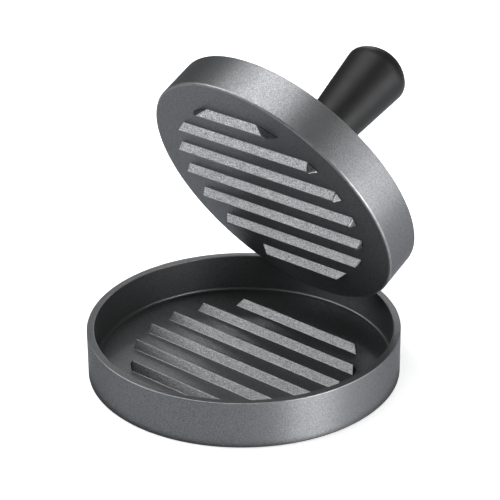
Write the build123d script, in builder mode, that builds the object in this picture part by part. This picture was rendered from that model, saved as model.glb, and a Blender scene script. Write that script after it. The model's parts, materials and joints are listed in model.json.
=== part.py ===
from build123d import *
import math
import os

# Patty press: a ribbed cup-shaped base and a ribbed press plate with a screwed-on grip.
# The origin is the middle of the base's underside, +Z is up and X runs along the base's ridges.
# The press plate is modelled tipped open on the back of the base's rim. The tilt axis
# carries it from there down into the cup, level and in line with the base.

os.makedirs("parts", exist_ok=True)

# Base dish, a casting
base_height = 19.5
base_rim_radius = 62.0
base_foot_radius = 61.9
cup_radius = 59.0
cup_floor_height = 3.8
cup_floor_fillet = 1.2
foot_edge_chamfer = 0.6
rim_edge_radius = 0.35
underside_recess_radius = 54.0
underside_pad_radius = 14.0
underside_recess_depth = 0.8

# Ridges on the cup floor and on the press face
ridge_pitch = 13.5
ridge_height = 3.2
ridge_foot_width = 4.8
ridge_top_width = 0.8
ridge_top_radius = 0.3
ridge_circle_radius = 44.8
ridge_root_depth = 0.5
base_ridge_count = 6
press_ridge_count = 7

# Press plate, a casting that is hollow behind
press_radius = 58.0
press_back_radius = 57.8
press_depth = 16.6
press_floor_thickness = 4.4
press_wall_thickness = 3.0
press_face_edge_radius = 0.9
press_back_edge_radius = 0.5
press_floor_fillet = 2.0
boss_radius = 9.0
boss_height = 9.6
boss_foot_fillet = 1.5

# Tilt axis, where the press plate's side rolls over the back of the rim
ridge_tip_gap = 0.4
hinge_reach = 56.5
hinge_height = 21.0
hinge_yaw = 1.2
hinge_rise = 4.6
open_angle = 64.0

# Grip and its fixing
thread_radius = 4.0
stud_engagement = 8.2
stud_length = 32.0
stud_chamfer = 0.8
washer_outer_radius = 7.4
washer_thickness = 2.0
washer_clearance = 0.3
washer_gap = 1.2
insert_length = 24.0
insert_radius = 5.8
insert_groove_radius = 5.1
insert_collar_length = 7.0
insert_end_thickness = 1.5
grip_neck_radius = 7.8
grip_shoulder_radius = 13.7
grip_shoulder_height = 55.2
grip_height = 63.5
grip_shoulder_fillet = 6.0
grip_neck_fillet = 0.8


def turned_about(axis, point, angle):
    """A point turned about an axis by an angle in degrees."""
    arm = point - axis.position
    return axis.position + arm.rotate(axis, angle)


def section_plane(plane):
    """The plane through a plane's normal and its x direction, for turned profiles."""
    return Plane(origin=plane.origin, x_dir=plane.x_dir, z_dir=plane.x_dir.cross(plane.z_dir))


def circular_edges(part, radius, height_axis):
    """A part's circular edges of one radius, lowest first along an axis."""
    circles = part.edges().filter_by(GeomType.CIRCLE)
    matching = circles.filter_by(lambda edge: abs(edge.radius - radius) < 0.01)
    return matching.sort_by(height_axis)


def ridge_set(face, count):
    """Parallel ridges that stand on a face, spaced about its middle, with their ends on one circle."""
    half_foot = ridge_foot_width / 2
    half_top = ridge_top_width / 2
    across = Plane(origin=face.origin, x_dir=face.y_dir, z_dir=face.x_dir)
    with BuildPart() as ridges:
        with BuildSketch(across) as profile:
            with GridLocations(ridge_pitch, ridge_pitch, count, 1):
                Polygon(
                    (-half_foot, -ridge_root_depth),
                    (half_foot, -ridge_root_depth),
                    (half_foot, 0),
                    (half_top, ridge_height),
                    (-half_top, ridge_height),
                    (-half_foot, 0),
                    align=None,
                )
            fillet(profile.vertices().group_by(Axis.Y)[-1], ridge_top_radius)
        extrude(amount=ridge_circle_radius, both=True)
        with BuildSketch(face):
            Circle(ridge_circle_radius)
        extrude(amount=2 * ridge_height, both=True, mode=Mode.INTERSECT)
    return ridges.part


# The tilt axis and the press plate's own plane, closed and then open
hinge_run = math.cos(math.radians(hinge_rise))
hinge_direction = (
    hinge_run * math.cos(math.radians(hinge_yaw)),
    hinge_run * math.sin(math.radians(hinge_yaw)),
    math.sin(math.radians(hinge_rise)),
)
hinge = Axis((0, hinge_reach, hinge_height), hinge_direction)
closed_face_height = cup_floor_height + 2 * ridge_height + ridge_tip_gap
press = Plane(
    origin=turned_about(hinge, Vector(0, 0, closed_face_height), -open_angle),
    x_dir=Vector(1, 0, 0).rotate(hinge, -open_angle),
    z_dir=Vector(0, 0, 1).rotate(hinge, -open_angle),
)
press_axis = Axis(press.origin, press.z_dir)
press_section = section_plane(press)
press_face = Plane(origin=press.origin, x_dir=press.x_dir, z_dir=-press.z_dir)

# Levels along the press axis, from the ridged face towards the grip
boss_top = press_floor_thickness + boss_height
grip_bottom = boss_top + washer_thickness
stud_bottom = boss_top - stud_engagement

# Base dish
base_ridges = ridge_set(Plane.XY.offset(cup_floor_height), base_ridge_count)
base_draft = math.degrees(math.atan((base_rim_radius - base_foot_radius) / base_height))

with BuildPart() as base_dish:
    with BuildSketch():
        Circle(base_foot_radius)
    extrude(amount=base_height, taper=-base_draft)
    with BuildSketch(Plane.XY.offset(cup_floor_height)):
        Circle(cup_radius)
    extrude(amount=base_height, mode=Mode.SUBTRACT)
    with BuildSketch():
        Circle(underside_recess_radius)
        Circle(underside_pad_radius, mode=Mode.SUBTRACT)
    extrude(amount=underside_recess_depth, mode=Mode.SUBTRACT)
    cup_edges = circular_edges(base_dish, cup_radius, Axis.Z)
    fillet(cup_edges[0], cup_floor_fillet)
    rim_edges = circular_edges(base_dish, cup_radius, Axis.Z)[-1:]
    rim_edges += circular_edges(base_dish, base_rim_radius, Axis.Z)[-1:]
    fillet(rim_edges, rim_edge_radius)
    chamfer(circular_edges(base_dish, base_foot_radius, Axis.Z)[0], foot_edge_chamfer)
    add(base_ridges)
base_dish.part.label = "base_dish"
export_step(base_dish.part, "parts/base_dish.step")

# Press plate
press_ridges = ridge_set(press_face, press_ridge_count)
press_draft = math.degrees(math.atan((press_radius - press_back_radius) / press_depth))
press_hollow_radius = press_back_radius - press_wall_thickness

with BuildPart() as press_plate:
    with BuildSketch(press):
        Circle(press_radius)
    extrude(amount=press_depth, taper=press_draft)
    with BuildSketch(press.offset(press_floor_thickness)):
        Circle(press_hollow_radius)
        Circle(boss_radius, mode=Mode.SUBTRACT)
    extrude(amount=press_depth, mode=Mode.SUBTRACT)
    with BuildSketch(press.offset(boss_top)):
        Circle(2 * boss_radius)
    extrude(amount=press_depth, mode=Mode.SUBTRACT)
    with BuildSketch(press.offset(stud_bottom)):
        Circle(thread_radius)
    extrude(amount=press_depth, mode=Mode.SUBTRACT)
    hollow_edges = circular_edges(press_plate, press_hollow_radius, press_axis)
    fillet(hollow_edges[0], press_floor_fillet)
    boss_edges = circular_edges(press_plate, boss_radius, press_axis)
    fillet(boss_edges[0], boss_foot_fillet)
    back_edges = circular_edges(press_plate, press_hollow_radius, press_axis)[-1:]
    back_edges += circular_edges(press_plate, press_back_radius, press_axis)[-1:]
    fillet(back_edges, press_back_edge_radius)
    fillet(circular_edges(press_plate, press_radius, press_axis)[0], press_face_edge_radius)
    add(press_ridges)
press_plate.part.label = "press_plate"
export_step(press_plate.part, "parts/press_plate.step")

# Grip stud, screwed into the blind hole in the boss
with BuildPart() as grip_stud:
    with BuildSketch(press.offset(stud_bottom)):
        Circle(thread_radius)
    extrude(amount=stud_length)
    chamfer(grip_stud.edges().filter_by(GeomType.CIRCLE), stud_chamfer)
grip_stud.part.label = "grip_stud"
export_step(grip_stud.part, "parts/grip_stud.step")

# Spring washer between the boss and the grip, split on one side
with BuildPart() as spring_washer:
    with BuildSketch(press.offset(boss_top)):
        Circle(washer_outer_radius)
        Circle(thread_radius + washer_clearance, mode=Mode.SUBTRACT)
        with Locations((washer_outer_radius, 0)):
            Rectangle(2 * washer_outer_radius, washer_gap, mode=Mode.SUBTRACT)
    extrude(amount=washer_thickness)
spring_washer.part.label = "spring_washer"
export_step(spring_washer.part, "parts/spring_washer.step")

# Threaded insert moulded into the grip, with a groove that keys it
insert_top = grip_bottom + insert_length
groove_low = grip_bottom + insert_collar_length
groove_high = insert_top - insert_collar_length

with BuildPart() as insert_envelope:
    with BuildSketch(press_section):
        with BuildLine():
            Polyline(
                (0, grip_bottom),
                (insert_radius, grip_bottom),
                (insert_radius, groove_low),
                (insert_groove_radius, groove_low),
                (insert_groove_radius, groove_high),
                (insert_radius, groove_high),
                (insert_radius, insert_top),
                (0, insert_top),
                close=True,
            )
        make_face()
    revolve(axis=press_axis)

with BuildPart() as grip_insert:
    add(insert_envelope.part)
    with BuildSketch(press.offset(grip_bottom)):
        Circle(thread_radius)
    extrude(amount=insert_length - insert_end_thickness, mode=Mode.SUBTRACT)
grip_insert.part.label = "grip_insert"
export_step(grip_insert.part, "parts/grip_insert.step")

# Grip, a flared moulding with a domed end
dome_rise = grip_height - grip_shoulder_height
dome_radius = (grip_shoulder_radius**2 + dome_rise**2) / (2 * dome_rise)
shoulder_level = grip_bottom + grip_shoulder_height
grip_top = grip_bottom + grip_height

with BuildPart() as grip:
    with BuildSketch(press_section) as grip_profile:
        with BuildLine():
            Line((0, grip_top), (0, grip_bottom))
            Line((0, grip_bottom), (grip_neck_radius, grip_bottom))
            Line((grip_neck_radius, grip_bottom), (grip_shoulder_radius, shoulder_level))
            RadiusArc((grip_shoulder_radius, shoulder_level), (0, grip_top), -dome_radius)
        make_face()
        corners = grip_profile.vertices().sort_by(Axis.X)
        fillet(corners[-1], grip_shoulder_fillet)
        fillet(grip_profile.vertices().sort_by(Axis.Y)[1], grip_neck_fillet)
    revolve(axis=press_axis)
    add(insert_envelope.part, mode=Mode.SUBTRACT)
grip.part.label = "grip"
export_step(grip.part, "parts/grip.step")

print("tilt axis at", tuple(hinge.position), "along", tuple(hinge.direction))
print("press face centre", tuple(press.origin), "axis", tuple(press.z_dir))
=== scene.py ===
import json
import math
import bmesh
import bpy
from mathutils import Matrix, Vector


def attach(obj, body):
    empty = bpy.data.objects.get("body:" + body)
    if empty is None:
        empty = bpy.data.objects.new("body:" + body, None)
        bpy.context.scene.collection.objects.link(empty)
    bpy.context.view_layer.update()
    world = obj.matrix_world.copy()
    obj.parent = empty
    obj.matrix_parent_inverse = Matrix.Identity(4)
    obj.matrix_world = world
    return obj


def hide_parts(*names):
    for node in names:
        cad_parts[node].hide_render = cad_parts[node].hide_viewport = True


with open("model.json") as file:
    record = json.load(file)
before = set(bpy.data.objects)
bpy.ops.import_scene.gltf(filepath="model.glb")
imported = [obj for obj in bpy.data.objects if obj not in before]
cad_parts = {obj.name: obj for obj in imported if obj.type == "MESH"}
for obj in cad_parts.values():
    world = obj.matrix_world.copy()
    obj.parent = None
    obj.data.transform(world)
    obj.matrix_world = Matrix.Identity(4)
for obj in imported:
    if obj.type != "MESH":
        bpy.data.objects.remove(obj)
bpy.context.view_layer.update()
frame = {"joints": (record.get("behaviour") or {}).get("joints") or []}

# Sizes are in millimetres, as in the CAD model, and meshes are scaled to metres when they are made
MM = 0.001

# Base dish
rim_radius = 62.0
foot_radius = 61.9
dish_height = 19.5
cup_radius = 59.0
cup_floor = 3.8
cup_fillet = 1.2
rim_edge_radius = 0.35
foot_chamfer = 0.6
recess_radius = 54.0
recess_depth = 0.8
pad_radius = 14.0

# Ridges, with heights measured from the face that they stand on
ridge_pitch = 13.5
ridge_height = 3.2
ridge_half_foot = 2.4
ridge_half_top = 0.4
ridge_top_radius = 0.3
ridge_foot_fillet = 0.5
ridge_corner_radius = 0.4
ridge_end_draft = 0.06
ridge_root = -0.5
ridge_fillet_start = -0.03
ridge_circle = 44.8
ridge_tip_gap = 0.4
dish_ridge_count = 6
plate_ridge_count = 7

# Press plate, with heights measured from its face towards the grip
plate_radius = 58.0
plate_back_radius = 57.8
plate_depth = 16.6
plate_floor = 4.4
plate_wall = 3.0
face_edge_radius = 0.9
back_edge_radius = 0.5
hollow_fillet = 2.0
boss_radius = 9.0
boss_fillet = 1.5
boss_top = 14.0

# Grip and its fixing, with the grip's own heights measured from its bottom
stud_radius = 4.0
stud_bottom = 5.8
stud_length = 32.0
stud_chamfer = 0.8
thread_pitch = 1.25
thread_depth = 0.68
washer_radius = 7.4
washer_bore = 4.3
washer_thickness = 2.0
washer_gap = 1.2
insert_radius = 5.8
insert_groove_radius = 5.1
insert_collar = 7.0
insert_length = 24.0
insert_end = 1.5
grip_neck_radius = 7.8
grip_neck_edge = 0.8
grip_shoulder_radius = 13.7
grip_shoulder_height = 55.2
grip_shoulder_fillet = 6.0
grip_height = 63.5
grip_bottom = boss_top + washer_thickness

# How finely round shapes are divided
TURN_STEPS = 192
SMALL_TURN_STEPS = 96
ARC_STEPS = 6
DOME_STEPS = 14
RIDGE_END_STEPS = 10

# The press plate's own frame: the closed plate's, turned back about the hinge to where it rests open
tilt = frame["joints"][0]
hinge_point = Vector(tilt["pos_m"])
hinge_axis = Vector(tilt["axis"])
opening = Matrix.Rotation(-math.radians(tilt["range_deg"][1]), 4, hinge_axis)
about_hinge = Matrix.Translation(hinge_point) @ opening @ Matrix.Translation(-hinge_point)
closed_face_height = (cup_floor + 2 * ridge_height + ridge_tip_gap) * MM
press_place = about_hinge @ Matrix.Translation((0, 0, closed_face_height))
facing_down = Matrix.Rotation(math.pi, 4, "X")


# Mesh building


def rounded(corners):
    """The points of an open outline from corners of (across, up, radius), each rounded by an arc."""
    points = []
    for index, (across, up, radius) in enumerate(corners):
        corner = Vector((across, up))
        if radius == 0:
            points.append(corner)
            continue
        back = (Vector(corners[index - 1][:2]) - corner).normalized()
        ahead = (Vector(corners[index + 1][:2]) - corner).normalized()
        half_angle = back.angle(ahead) / 2
        centre = corner + (back + ahead).normalized() * radius / math.sin(half_angle)
        reach = radius / math.tan(half_angle)
        start = (corner + back * reach - centre).normalized()
        end = (corner + ahead * reach - centre).normalized()
        for step in range(ARC_STEPS + 1):
            points.append(centre + start.slerp(end, step / ARC_STEPS) * radius)
    return points


def add_strips(bm, loops):
    """Joins each loop of corners to the next by a strip of faces."""
    for low, high in zip(loops, loops[1:]):
        for step in range(len(low)):
            after = (step + 1) % len(low)
            bm.faces.new((low[step], low[after], high[after], high[step]))


def finished_mesh(name, bm, place):
    """A mesh in metres, put in its place, from bmesh geometry in millimetres. It uses up the bmesh."""
    bmesh.ops.recalc_face_normals(bm, faces=bm.faces)
    bm.transform(place @ Matrix.Scale(MM, 4))
    mesh = bpy.data.meshes.new(name)
    bm.to_mesh(mesh)
    bm.free()
    return mesh


def turned_loops(bm, outline, steps):
    """A loop of corners round Z for each (radius, height) point of an outline."""
    angles = [2 * math.pi * step / steps for step in range(steps)]
    loops = []
    for point in outline:
        corners = [(point.x * math.cos(angle), point.x * math.sin(angle), point.y) for angle in angles]
        loops.append([bm.verts.new(corner) for corner in corners])
    return loops


def turned_mesh(name, outline, place, steps=TURN_STEPS, closed=False):
    """A shell turned about Z from an outline, which is closed or gets a flat face at each end."""
    bm = bmesh.new()
    loops = turned_loops(bm, outline, steps)
    if closed:
        add_strips(bm, loops + loops[:1])
    else:
        add_strips(bm, loops)
        bm.faces.new(loops[0])
        bm.faces.new(loops[-1])
    return finished_mesh(name, bm, place)


def ridge_end_inset(height):
    """How far back a ridge's end stands at a height, by its foot fillet, its draft and its rounded top."""
    into_foot = min(max(ridge_foot_fillet - height, 0), ridge_foot_fillet)
    into_top = max(height - ridge_height + ridge_top_radius, 0)
    flare = ridge_foot_fillet - math.sqrt(ridge_foot_fillet**2 - into_foot**2)
    round_off = ridge_top_radius - math.sqrt(max(ridge_top_radius**2 - into_top**2, 0))
    return ridge_end_draft * max(height, 0) - flare + round_off


def ridge_contour(row, half_width, height):
    """One level of a ridge: a long thin outline whose ends follow the ridge circle."""
    corner = min(ridge_corner_radius, half_width)
    points = []
    for side in (1, -1):
        for step in range(RIDGE_END_STEPS + 1):
            across = -side * half_width * math.cos(math.pi * step / RIDGE_END_STEPS)
            into_corner = max(abs(across) - half_width + corner, 0)
            cut = corner - math.sqrt(max(corner**2 - into_corner**2, 0))
            reach = math.sqrt(ridge_circle**2 - (row + across) ** 2) - ridge_end_inset(height) - cut
            points.append((side * reach, row + across, height))
    return points


def ridges_mesh(name, count, place):
    """Parallel ridges on a frame's XY plane, each a closed shell that is rooted below the plane."""
    # The foot fillets start just under the plane, so that no face of a ridge lies in the body's own face
    half_root = ridge_half_foot + ridge_foot_fillet
    half_section = rounded(
        [
            (half_root, ridge_root, 0),
            (half_root, ridge_fillet_start, 0),
            (ridge_half_foot, ridge_fillet_start, ridge_foot_fillet),
            (ridge_half_top, ridge_height, ridge_top_radius),
            (0, ridge_height, 0),
        ]
    )
    bm = bmesh.new()
    for index in range(count):
        row = (index - (count - 1) / 2) * ridge_pitch
        loops = []
        for point in half_section[:-1]:
            contour = ridge_contour(row, point.x, point.y)
            loops.append([bm.verts.new(corner) for corner in contour])
        add_strips(bm, loops)
        bm.faces.new(loops[0])
        bm.faces.new(loops[-1])
    return finished_mesh(name, bm, place)


def cut_or_united(name, body_mesh, tool_mesh, operation):
    """One mesh from a body and a tool, by an exact union or difference, with the materials of both."""
    body = bpy.data.objects.new(name, body_mesh)
    tool = bpy.data.objects.new(name + "_tool", tool_mesh)
    for obj in (body, tool):
        bpy.context.scene.collection.objects.link(obj)
    boolean = body.modifiers.new("join", "BOOLEAN")
    boolean.operation = operation
    boolean.solver = "EXACT"
    boolean.object = tool
    boolean.material_mode = "TRANSFER"
    joined = bpy.data.meshes.new_from_object(body.evaluated_get(bpy.context.evaluated_depsgraph_get()))
    for obj in (body, tool):
        bpy.data.objects.remove(obj)
    joined.name = name
    return joined


def mark_edges(mesh):
    """Marks each face in a rounded edge with 1 and each in a fillet with -1, for the materials. They paint
    the edges lighter, as wear and a painted highlight, and the fillets darker, as painted shade.
    """
    turn_limit = math.radians(5)
    width_limit = 0.6 * MM
    bm = bmesh.new()
    bm.from_mesh(mesh)
    mark = bm.faces.layers.float.new("edge")
    for face in bm.faces:
        # The area of a long narrow face is about its width times half its perimeter
        if face.calc_area() > width_limit * face.calc_perimeter() / 2:
            continue
        # A strip of a rounded edge or a fillet turns the same way along both its long sides
        turns = sorted(edge.calc_face_angle_signed(0) for edge in face.edges)
        if turns[-2] > turn_limit:
            face[mark] = 1
        elif turns[1] < -turn_limit:
            face[mark] = -1
    bm.to_mesh(mesh)
    bm.free()


def add_piece(name, mesh, body, node):
    """Puts a mesh in the scene in place of its CAD node, shaded smooth but for its sharp edges."""
    sharp_angle = 40
    mark_edges(mesh)
    mesh.shade_smooth()
    mesh.set_sharp_from_angle(angle=math.radians(sharp_angle))
    piece = bpy.data.objects.new(name, mesh)
    bpy.context.scene.collection.objects.link(piece)
    weighted = piece.modifiers.new("flat faces stay flat", "WEIGHTED_NORMAL")
    weighted.keep_sharp = True
    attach(piece, body)
    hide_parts(node)


# Materials

# Most of a noise texture's values lie between these
NOISE_LOW = 0.3
NOISE_HIGH = 0.7


def new_material(name, color, metallic, roughness):
    """A material with one Principled shader, and that shader."""
    material = bpy.data.materials.new(name)
    material.use_nodes = True
    shader = material.node_tree.nodes["Principled BSDF"]
    shader.inputs["Base Color"].default_value = (*color, 1)
    shader.inputs["Metallic"].default_value = metallic
    shader.inputs["Roughness"].default_value = roughness
    return material, shader


def add_noise(material, grain_mm, detail):
    """A noise texture over the surface, with grains of about the given size."""
    nodes = material.node_tree.nodes
    place = nodes.new("ShaderNodeTexCoord")
    noise = nodes.new("ShaderNodeTexNoise")
    noise.inputs["Scale"].default_value = 1 / (grain_mm * MM)
    noise.inputs["Detail"].default_value = detail
    material.node_tree.links.new(place.outputs["Object"], noise.inputs["Vector"])
    return noise.outputs["Fac"]


def add_range(material, value, low, high, from_low=NOISE_LOW, from_high=NOISE_HIGH):
    """A value spread over a new range, by default a noise texture's."""
    spread = material.node_tree.nodes.new("ShaderNodeMapRange")
    spread.inputs["From Min"].default_value = from_low
    spread.inputs["From Max"].default_value = from_high
    spread.inputs["To Min"].default_value = low
    spread.inputs["To Max"].default_value = high
    material.node_tree.links.new(value, spread.inputs["Value"])
    return spread.outputs["Result"]


def add_tint(material, value, start, end):
    """A colour that goes from start to end with a value. Either may be another node's colour."""
    tint = material.node_tree.nodes.new("ShaderNodeMix")
    tint.data_type = "RGBA"
    links = material.node_tree.links
    links.new(value, tint.inputs["Factor"])
    for socket, color in ((tint.inputs["A"], start), (tint.inputs["B"], end)):
        if isinstance(color, bpy.types.NodeSocket):
            links.new(color, socket)
        else:
            socket.default_value = (*color, 1)
    return tint.outputs["Result"]


def add_edge_marks(material):
    """The faces' marks as two values: one for rounded edges, broken up a little, for wear and a painted
    highlight, and one for fillets, for painted shade.
    """
    nodes = material.node_tree.nodes
    links = material.node_tree.links
    marks = nodes.new("ShaderNodeAttribute")
    marks.attribute_name = "edge"
    edges = add_range(material, marks.outputs["Fac"], low=0, high=1, from_low=0, from_high=1)
    fillet_shade_mask = add_range(material, marks.outputs["Fac"], low=1, high=0, from_low=-1, from_high=0)
    patches = add_range(material, add_noise(material, grain_mm=1.5, detail=3), low=0.4, high=1)
    product = nodes.new("ShaderNodeMath")
    product.operation = "MULTIPLY"
    links.new(edges, product.inputs[0])
    links.new(patches, product.inputs[1])
    return product.outputs["Value"], fillet_shade_mask


def add_bump(material, value, height_mm, under=None):
    """A bump of the given height from a texture value, over another bump if there is one."""
    bump = material.node_tree.nodes.new("ShaderNodeBump")
    bump.inputs["Strength"].default_value = 1
    bump.inputs["Distance"].default_value = height_mm * MM
    material.node_tree.links.new(value, bump.inputs["Height"])
    if under is not None:
        material.node_tree.links.new(under, bump.inputs["Normal"])
    return bump.outputs["Normal"]


def cast_coating(name, contrast, grain_height, worn_and_highlight_color, fillet_shade_color):
    """Satin gunmetal coating on cast aluminium, speckled, with rounded edges painted lighter as wear and a
    painted highlight, and fillets painted darker as painted shade.
    """
    body_color = Vector((0.171, 0.1745, 0.1795))
    material, shader = new_material(name, body_color, metallic=0.88, roughness=0.39)
    shader.inputs["Specular Tint"].default_value = (0.4, 0.4, 0.4, 1)
    links = material.node_tree.links
    speckle = add_range(material, add_noise(material, grain_mm=0.5, detail=2), low=0, high=1)
    color = add_tint(material, speckle, body_color * (1 - contrast), body_color * (1 + contrast))
    wear_and_highlight, fillet_shade_mask = add_edge_marks(material)
    # Fillets are painted darker: painted shade in the creases
    color = add_tint(material, fillet_shade_mask, color, fillet_shade_color)
    # Rounded edges are painted lighter in patches: wear, and a painted highlight along the edges
    color = add_tint(material, wear_and_highlight, color, worn_and_highlight_color)
    links.new(color, shader.inputs["Base Color"])
    satin = add_range(material, speckle, low=0.48, high=0.3, from_low=0, from_high=1)
    links.new(satin, shader.inputs["Roughness"])
    waves = add_bump(material, add_noise(material, grain_mm=9, detail=2), height_mm=0.03)
    grain = add_noise(material, grain_mm=0.6, detail=3)
    grains = add_bump(material, grain, height_mm=grain_height, under=waves)
    links.new(grains, shader.inputs["Normal"])
    return material


def grip_moulding():
    """Satin black moulding with a barely visible grain."""
    black = (0.008, 0.008, 0.0085)
    material, shader = new_material("grip moulding", black, metallic=0, roughness=0.45)
    shader.inputs["Specular IOR Level"].default_value = 0.24
    links = material.node_tree.links
    clouds = add_noise(material, grain_mm=6, detail=3)
    links.new(add_range(material, clouds, low=0.42, high=0.5), shader.inputs["Roughness"])
    grain = add_noise(material, grain_mm=0.3, detail=2)
    links.new(add_bump(material, grain, height_mm=0.006), shader.inputs["Normal"])
    return material


def zinc_plate():
    """Bright zinc plate, with a faint cloudiness and a fine grain."""
    zinc_color = (0.62, 0.63, 0.64)
    material, shader = new_material("zinc plate", zinc_color, metallic=1, roughness=0.3)
    links = material.node_tree.links
    clouds = add_noise(material, grain_mm=2, detail=3)
    links.new(add_range(material, clouds, low=0.22, high=0.38), shader.inputs["Roughness"])
    grain = add_noise(material, grain_mm=0.15, detail=2)
    links.new(add_bump(material, grain, height_mm=0.003), shader.inputs["Normal"])
    return material


def turned_brass():
    """Turned brass with a little tarnish."""
    bright = (0.72, 0.52, 0.22)
    tarnished = (0.5, 0.36, 0.17)
    material, shader = new_material("turned brass", bright, metallic=1, roughness=0.3)
    links = material.node_tree.links
    tarnish = add_range(material, add_noise(material, grain_mm=3, detail=3), low=0, high=1)
    links.new(add_tint(material, tarnish, bright, tarnished), shader.inputs["Base Color"])
    grain = add_noise(material, grain_mm=0.2, detail=2)
    links.new(add_bump(material, grain, height_mm=0.003), shader.inputs["Normal"])
    return material


# Pieces


def make_base_dish(coating, ridge_coating):
    """The base: a cup with a flat rim, six ridges on its floor, and a recess and a pad underneath."""
    # Every edge underneath is rounded by this
    ease = 0.2

    # The outline starts on the flat pad, this far inside its edge
    pad_edge_band = 2
    turned = turned_mesh(
        "dish_body",
        rounded(
            [
                (pad_radius - pad_edge_band, 0, 0),
                (pad_radius, 0, ease),
                (pad_radius, recess_depth, ease),
                (recess_radius, recess_depth, ease),
                (recess_radius, 0, ease),
                (foot_radius - foot_chamfer, 0, ease),
                (foot_radius, foot_chamfer, ease),
                (rim_radius, dish_height, rim_edge_radius),
                (cup_radius, dish_height, rim_edge_radius),
                (cup_radius, cup_floor, cup_fillet),
                (cup_radius - 2 * cup_fillet, cup_floor, 0),
            ]
        ),
        Matrix.Identity(4),
    )
    ridges = ridges_mesh("dish_ridges", dish_ridge_count, Matrix.Translation((0, 0, cup_floor * MM)))
    turned.materials.append(coating)
    ridges.materials.append(ridge_coating)
    casting = cut_or_united("base_casting", turned, ridges, "UNION")
    add_piece("base_casting", casting, "base", "base_dish")


def make_press_plate(coating, ridge_coating):
    """The press plate: a thick disc with seven ridges on its face, and hollow behind round its boss."""
    hollow_radius = plate_back_radius - plate_wall
    thread_mouth = 0.6

    # The outline starts on the flat face, this far inside its edge
    face_edge_band = 4
    turned = turned_mesh(
        "plate_body",
        rounded(
            [
                (plate_radius - face_edge_band, 0, 0),
                (plate_radius, 0, face_edge_radius),
                (plate_back_radius, plate_depth, back_edge_radius),
                (hollow_radius, plate_depth, back_edge_radius),
                (hollow_radius, plate_floor, hollow_fillet),
                (boss_radius, plate_floor, boss_fillet),
                (boss_radius, boss_top, thread_mouth),
                (stud_radius, boss_top, 0),
                (stud_radius, stud_bottom, 0),
            ]
        ),
        press_place,
    )
    ridges = ridges_mesh("plate_ridges", plate_ridge_count, press_place @ facing_down)
    turned.materials.append(coating)
    ridges.materials.append(ridge_coating)
    casting = cut_or_united("plate_casting", turned, ridges, "UNION")
    add_piece("plate_casting", casting, "press", "press_plate")


def insert_outline():
    """The outside of the threaded insert from its mouth inwards: two collars with a groove between."""
    groove_low = grip_bottom + insert_collar
    groove_high = grip_bottom + insert_length - insert_collar
    return [
        (insert_radius, grip_bottom),
        (insert_radius, groove_low),
        (insert_groove_radius, groove_low),
        (insert_groove_radius, groove_high),
        (insert_radius, groove_high),
        (insert_radius, grip_bottom + insert_length),
    ]


def grip_side():
    """The grip's outside from its neck to the top of its dome, as (across, up, edge radius) corners."""
    shoulder = Vector((grip_shoulder_radius, grip_bottom + grip_shoulder_height))
    neck = Vector((grip_neck_radius, grip_bottom))
    rise = grip_height - grip_shoulder_height
    dome_radius = (grip_shoulder_radius**2 + rise**2) / (2 * rise)
    dome_centre = Vector((0, grip_bottom + grip_height - dome_radius))
    along = (shoulder - neck).normalized()
    inward = Vector((-along.y, along.x))

    # The shoulder's arc touches the straight side and the dome. Its centre lies on a line beside the side,
    # where its distance from the dome's centre is the difference of the two radii.
    line_start = neck + inward * grip_shoulder_fillet - dome_centre
    nearest = line_start.dot(along)
    reach = dome_radius - grip_shoulder_fillet
    run = -nearest + math.sqrt(nearest**2 - line_start.length_squared + reach**2)
    centre = neck + inward * grip_shoulder_fillet + along * run
    start_angle = math.atan2(-inward.y, -inward.x)
    end_angle = math.atan2(centre.y - dome_centre.y, centre.x)
    corners = [(neck.x, neck.y, grip_neck_edge)]
    for step in range(DOME_STEPS + 1):
        angle = start_angle + (end_angle - start_angle) * step / DOME_STEPS
        across = centre.x + grip_shoulder_fillet * math.cos(angle)
        corners.append((across, centre.y + grip_shoulder_fillet * math.sin(angle), 0))
    for step in range(1, DOME_STEPS):
        angle = end_angle + (math.pi / 2 - end_angle) * step / DOME_STEPS
        corners.append((dome_radius * math.cos(angle), dome_centre.y + dome_radius * math.sin(angle), 0))
    return corners


def make_grip(moulding):
    """The grip: flared from its neck to a rounded shoulder and a domed end, with its insert's socket."""
    corners = [(across, up, 0) for across, up in reversed(insert_outline())]
    mesh = turned_mesh("grip_moulding", rounded(corners + grip_side()), press_place)
    mesh.materials.append(moulding)
    add_piece("grip_moulding", mesh, "press", "grip")


def make_insert(brass):
    """The brass insert, a blind bush. Its own thread can't be seen, and is left plain."""
    bore_end = grip_bottom + insert_length - insert_end
    corners = [(across, up, 0) for across, up in insert_outline()]
    outline = [(stud_radius, bore_end, 0), (stud_radius, grip_bottom, 0), *corners]
    mesh = turned_mesh("threaded_insert", rounded(outline), press_place, SMALL_TURN_STEPS)
    mesh.materials.append(brass)
    add_piece("threaded_insert", mesh, "press", "grip_insert")


def make_washer(zinc):
    """The spring washer, with its split cut out of a turned ring."""
    edge = 0.15
    low = boss_top
    high = boss_top + washer_thickness
    middle = (low + high) / 2
    ring = rounded(
        [
            (washer_bore, middle, 0),
            (washer_bore, low, edge),
            (washer_radius, low, edge),
            (washer_radius, high, edge),
            (washer_bore, high, edge),
            (washer_bore, middle + edge, 0),
        ]
    )
    mesh = turned_mesh("split_washer", ring, press_place, SMALL_TURN_STEPS, closed=True)
    mesh.materials.append(zinc)
    bm = bmesh.new()
    bmesh.ops.create_cube(bm, size=1)
    slot_size = Matrix.Diagonal((2 * washer_radius, washer_gap, 2 * washer_thickness, 1))
    bm.transform(Matrix.Translation((washer_radius, 0, middle)) @ slot_size)
    tool = finished_mesh("washer_slot", bm, press_place)
    tool.materials.append(zinc)
    split = cut_or_united("split_washer", mesh, tool, "DIFFERENCE")
    add_piece("split_washer", split, "press", "spring_washer")


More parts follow.
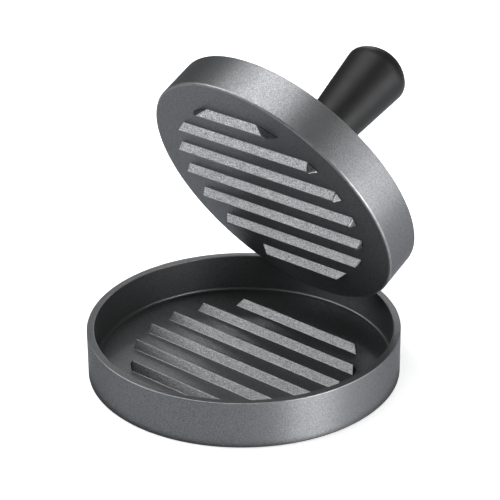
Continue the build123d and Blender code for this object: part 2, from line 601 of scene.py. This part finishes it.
def make_stud(zinc):
    """The grip's stud. Its thread is a row of rings with a thread's pitch, depth and flanks."""
    end_radius = stud_radius - stud_chamfer
    root_radius = stud_radius - thread_depth

    # A metric thread's crests are an eighth of the pitch wide, and its roots a quarter
    half_pitch = thread_pitch / 2
    half_crest = thread_pitch / 16
    half_root = thread_pitch / 8
    outline = [Vector((end_radius, stud_bottom))]
    ring_count = int((stud_length - 2 * stud_chamfer) / thread_pitch)
    for ring in range(ring_count):
        middle = stud_bottom + stud_chamfer + (ring + 0.5) * thread_pitch
        outline.append(Vector((root_radius, middle - half_pitch + half_root)))
        outline.append(Vector((stud_radius, middle - half_crest)))
        outline.append(Vector((stud_radius, middle + half_crest)))
        outline.append(Vector((root_radius, middle + half_pitch - half_root)))
    outline.append(Vector((end_radius, stud_bottom + stud_length)))
    mesh = turned_mesh("threaded_stud", outline, press_place, SMALL_TURN_STEPS)
    mesh.materials.append(zinc)
    add_piece("threaded_stud", mesh, "press", "grip_stud")


# Studio. The lights, camera and floor are in metres, and the backdrop and contact shade in millimetres.

# The point that the lights and the camera face
aim = Vector((0.0017, 0.0022, 0.0520))


def add_softbox(name, azimuth, elevation, radiance, width=0.6, height=0.6, distance=1.2):
    """A soft rectangular light that faces the press. Azimuth turns from +X towards +Y."""
    around = math.radians(azimuth)
    up = math.radians(elevation)
    toward = Vector((math.cos(around) * math.cos(up), math.sin(around) * math.cos(up), math.sin(up)))
    light = bpy.data.lights.new(name, "AREA")
    light.shape = "RECTANGLE"
    light.size = width
    light.size_y = height
    light.energy = radiance * math.pi * width * height
    lamp = bpy.data.objects.new(name, light)
    lamp.location = aim + toward * distance
    lamp.rotation_mode = "QUATERNION"
    lamp.rotation_quaternion = toward.to_track_quat("Z", "Y")
    bpy.context.scene.collection.objects.link(lamp)


def add_room_light(above, below):
    """Even light from the room, one brightness from above and another from below."""
    room_color = (0.92, 0.95, 1)

    # The one gives way to the other where the upward part of the direction is between these
    blend_low = -0.42
    blend_high = -0.1
    world = bpy.data.worlds.new("studio")
    world.use_nodes = True
    nodes = world.node_tree.nodes
    links = world.node_tree.links
    direction = nodes.new("ShaderNodeTexCoord")
    parts = nodes.new("ShaderNodeSeparateXYZ")
    blend = nodes.new("ShaderNodeMapRange")
    blend.inputs["From Min"].default_value = blend_low
    blend.inputs["From Max"].default_value = blend_high
    blend.inputs["To Min"].default_value = below
    blend.inputs["To Max"].default_value = above
    links.new(direction.outputs["Generated"], parts.inputs["Vector"])
    links.new(parts.outputs["Z"], blend.inputs["Value"])
    links.new(blend.outputs["Result"], nodes["Background"].inputs["Strength"])
    nodes["Background"].inputs["Color"].default_value = (*room_color, 1)
    bpy.context.scene.world = world


def add_floor(size, albedo, near_glow, far_glow):
    """The pale floor, lit from within as a light table is, and less so where the press stands."""
    near = 0.1
    far = 0.5
    mesh = bpy.data.meshes.new("floor")
    half = size / 2
    corners = [(-half, -half, 0), (half, -half, 0), (half, half, 0), (-half, half, 0)]
    mesh.from_pydata(corners, [], [(0, 1, 2, 3)])
    material, shader = new_material("floor paper", (albedo, albedo, albedo), metallic=0, roughness=0.9)
    shader.inputs["Specular IOR Level"].default_value = 0
    shader.inputs["Emission Color"].default_value = (1, 1, 1, 1)
    nodes = material.node_tree.nodes
    links = material.node_tree.links
    place = nodes.new("ShaderNodeTexCoord")
    distance = nodes.new("ShaderNodeVectorMath")
    distance.operation = "LENGTH"
    links.new(place.outputs["Object"], distance.inputs[0])
    glow = add_range(material, distance.outputs["Value"], near_glow, far_glow, from_low=near, from_high=far)
    links.new(glow, shader.inputs["Emission Strength"])
    mesh.materials.append(material)
    floor = bpy.data.objects.new("floor", mesh)
    bpy.context.scene.collection.objects.link(floor)

    # The metal's reflections and the low softbox's light pass through the floor
    floor.visible_glossy = False
    floor.visible_shadow = False


def add_backdrop(radius, bottom, top):
    """The pale wall round the floor, which only the camera sees."""
    bm = bmesh.new()
    outline = [Vector((radius, bottom)), Vector((radius, top))]
    add_strips(bm, turned_loops(bm, outline, TURN_STEPS))
    mesh = finished_mesh("backdrop", bm, Matrix.Identity(4))
    material, shader = new_material("backdrop paper", (0, 0, 0), metallic=0, roughness=1)
    shader.inputs["Specular IOR Level"].default_value = 0
    shader.inputs["Emission Color"].default_value = (1, 1, 1, 1)
    shader.inputs["Emission Strength"].default_value = 1
    mesh.materials.append(material)
    backdrop = bpy.data.objects.new("backdrop", mesh)
    bpy.context.scene.collection.objects.link(backdrop)
    backdrop.visible_diffuse = False
    backdrop.visible_glossy = False
    backdrop.visible_transmission = False
    backdrop.visible_shadow = False


def add_contact_shade(radius, bottom, top):
    """A dark patch under the dish that the camera doesn't see. It darkens the foot of the dish's wall."""
    outline = [Vector((radius, bottom)), Vector((radius, top))]
    mesh = turned_mesh("contact_shade", outline, Matrix.Identity(4))
    material, shader = new_material("contact shade", (0.02, 0.02, 0.02), metallic=0, roughness=1)
    shader.inputs["Specular IOR Level"].default_value = 0
    mesh.materials.append(material)
    shade = bpy.data.objects.new("contact_shade", mesh)
    bpy.context.scene.collection.objects.link(shade)
    shade.visible_camera = False
    shade.visible_diffuse = False


def add_camera(azimuth, elevation, roll, distance, lens):
    """The camera. Azimuth 0 looks along +Y and 90 along -X; roll turns the picture clockwise."""
    around = math.radians(azimuth)
    up = math.radians(elevation)
    back = Vector((math.sin(around) * math.cos(up), -math.cos(around) * math.cos(up), math.sin(up)))
    data = bpy.data.cameras.new("camera")
    data.lens = lens
    data.sensor_width = 36
    camera = bpy.data.objects.new("camera", data)
    camera.location = aim + back * distance
    camera.rotation_mode = "QUATERNION"
    level = (-back).to_track_quat("-Z", "Y")
    camera.rotation_quaternion = level @ Matrix.Rotation(math.radians(roll), 3, "Z").to_quaternion()
    bpy.context.scene.collection.objects.link(camera)
    bpy.context.scene.camera = camera


# The press

# The worn colour paints the rounded edges lighter, as wear and a painted highlight
coating = cast_coating(
    "cast coating",
    contrast=0.24,
    grain_height=0.05,
    worn_and_highlight_color=(0.29, 0.29, 0.29),
    fillet_shade_color=(0.17, 0.17, 0.17),
)
# The ridges' fillets are painted nearly black: painted shade at the feet of the ridges
ridge_coating = cast_coating(
    "rough cast coating",
    contrast=0.5,
    grain_height=0.07,
    worn_and_highlight_color=(0.19, 0.19, 0.19),
    fillet_shade_color=(0.04, 0.04, 0.042),
)
zinc = zinc_plate()
make_base_dish(coating, ridge_coating)
make_press_plate(coating, ridge_coating)
make_grip(grip_moulding())
make_insert(turned_brass())
make_washer(zinc)
make_stud(zinc)

# The studio around it

add_camera(azimuth=41.49, elevation=27.04, roll=-0.5, distance=0.969, lens=179.2)
add_floor(size=6, albedo=0.9, near_glow=0.52, far_glow=1)
add_backdrop(radius=2900, bottom=-2900, top=3000)
add_contact_shade(radius=65, bottom=-1, top=-0.5)
add_room_light(above=0.08, below=0.89)
add_softbox("overhead softbox", azimuth=180, elevation=83, radiance=5.2, height=0.7)
add_softbox("left high softbox", azimuth=180, elevation=60, radiance=3)
add_softbox("left softbox", azimuth=210, elevation=30, radiance=4.6)
add_softbox("front left softbox", azimuth=240, elevation=30, radiance=2.8)
add_softbox("back softbox", azimuth=127, elevation=22, radiance=3.3, width=0.35, height=0.4)
add_softbox("right softbox", azimuth=0, elevation=0, radiance=12)
add_softbox("back right softbox", azimuth=30, elevation=0, radiance=2.6)
add_softbox("back right high softbox", azimuth=30, elevation=30, radiance=2.7)
add_softbox("low right softbox", azimuth=0, elevation=-30, radiance=2.3)
bpy.context.scene.view_settings.view_transform = "Standard"
